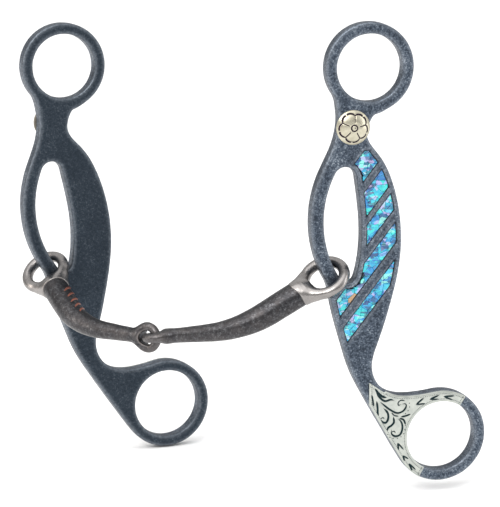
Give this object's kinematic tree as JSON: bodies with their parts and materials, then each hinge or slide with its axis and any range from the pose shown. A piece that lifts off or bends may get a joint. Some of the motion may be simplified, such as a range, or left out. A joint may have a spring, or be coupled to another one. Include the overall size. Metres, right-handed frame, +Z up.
{
  "type": "curb bit",
  "caption": "Short-shank western gag curb bit: decorated steel cheeks, each with a slot for a sliding end ring, and a jointed iron mouthpiece with copper strips.",
  "frame": {"origin": "centre of the near cheek's headstall ring, in the middle of its plate", "axes": "+Z up towards the headstall, -Y out of the near cheek's decorated face, +X towards the back of the bit, where the wings and rein rings are"},
  "size_m": [0.1673, 0.0987, 0.1824],
  "materials": {
    "antiqued_steel": "antiqued blue-grey, satin, speckled, paler on worn edges",
    "stainless": "polished",
    "sweet_iron": "dark, mottled, satin",
    "copper": "satin",
    "german_silver": "polished, engraved and darkened in the cuts",
    "opal": "clear gloss over blue-green opal chips"
  },
  "bodies": {
    "near_cheek": {"near_cheek": "antiqued_steel", "near_concho": "german_silver", "near_rein_overlay": "german_silver", "near_inlay_1": "opal", "near_inlay_2": "opal", "near_inlay_3": "opal", "near_inlay_4": "opal", "near_inlay_5": "opal"},
    "near_end_ring": {"near_end_ring": "stainless"},
    "near_mouth": {"near_ferrule": "stainless", "near_mouth_bar": "sweet_iron", "near_copper_1": "copper", "near_copper_2": "copper", "near_copper_3": "copper", "near_copper_4": "copper", "near_copper_5": "copper"},
    "centre_link": {"near_centre_eye": "sweet_iron"},
    "off_mouth": {"off_centre_eye": "sweet_iron", "off_mouth_bar": "sweet_iron", "off_ferrule": "stainless", "off_copper_1": "copper", "off_copper_2": "copper", "off_copper_3": "copper", "off_copper_4": "copper", "off_copper_5": "copper"},
    "off_end_ring": {"off_end_ring": "stainless"},
    "off_cheek": {"off_cheek": "antiqued_steel", "off_concho": "german_silver", "off_rein_overlay": "german_silver", "off_inlay_1": "opal", "off_inlay_2": "opal", "off_inlay_3": "opal", "off_inlay_4": "opal", "off_inlay_5": "opal"}
  },
  "joints": [
    {"name": "near_gag_slide", "type": "hinge", "parent": "near_cheek", "child": "near_end_ring", "pos_m": [0.0227, 0, -0.0575], "axis": [0, 1, 0], "range_deg": [0, 52]},
    {"name": "near_swivel", "type": "hinge", "parent": "near_end_ring", "child": "near_mouth", "pos_m": [-0.01649, 0, -0.07932], "axis": [-0.4294, -0.4695, 0.7715], "range_deg": [-95, 60]},
    {"name": "near_eye_turn", "type": "hinge", "parent": "near_mouth", "child": "centre_link", "pos_m": [-0.07721, 0.01696, -0.10279], "axis": [-0.0706, 0.1728, 0.9824], "range_deg": [-60, 60]},
    {"name": "off_eye_turn", "type": "hinge", "parent": "centre_link", "child": "off_mouth", "pos_m": [-0.08034, 0.02037, -0.10362], "axis": [0.743, 0.6662, -0.0638], "range_deg": [-60, 40]},
    {"name": "off_swivel", "type": "hinge", "parent": "off_mouth", "child": "off_end_ring", "pos_m": [-0.1102, 0.07886, -0.08906], "axis": [-0.4937, -0.4389, 0.7508], "range_deg": [-20, 90]},
    {"name": "off_gag_slide", "type": "hinge", "parent": "off_end_ring", "child": "off_cheek", "pos_m": [-0.07458, 0.08444, -0.06237], "axis": [0.1366, -0.9903, 0.0249], "range_deg": [0, 52]}
  ]
}
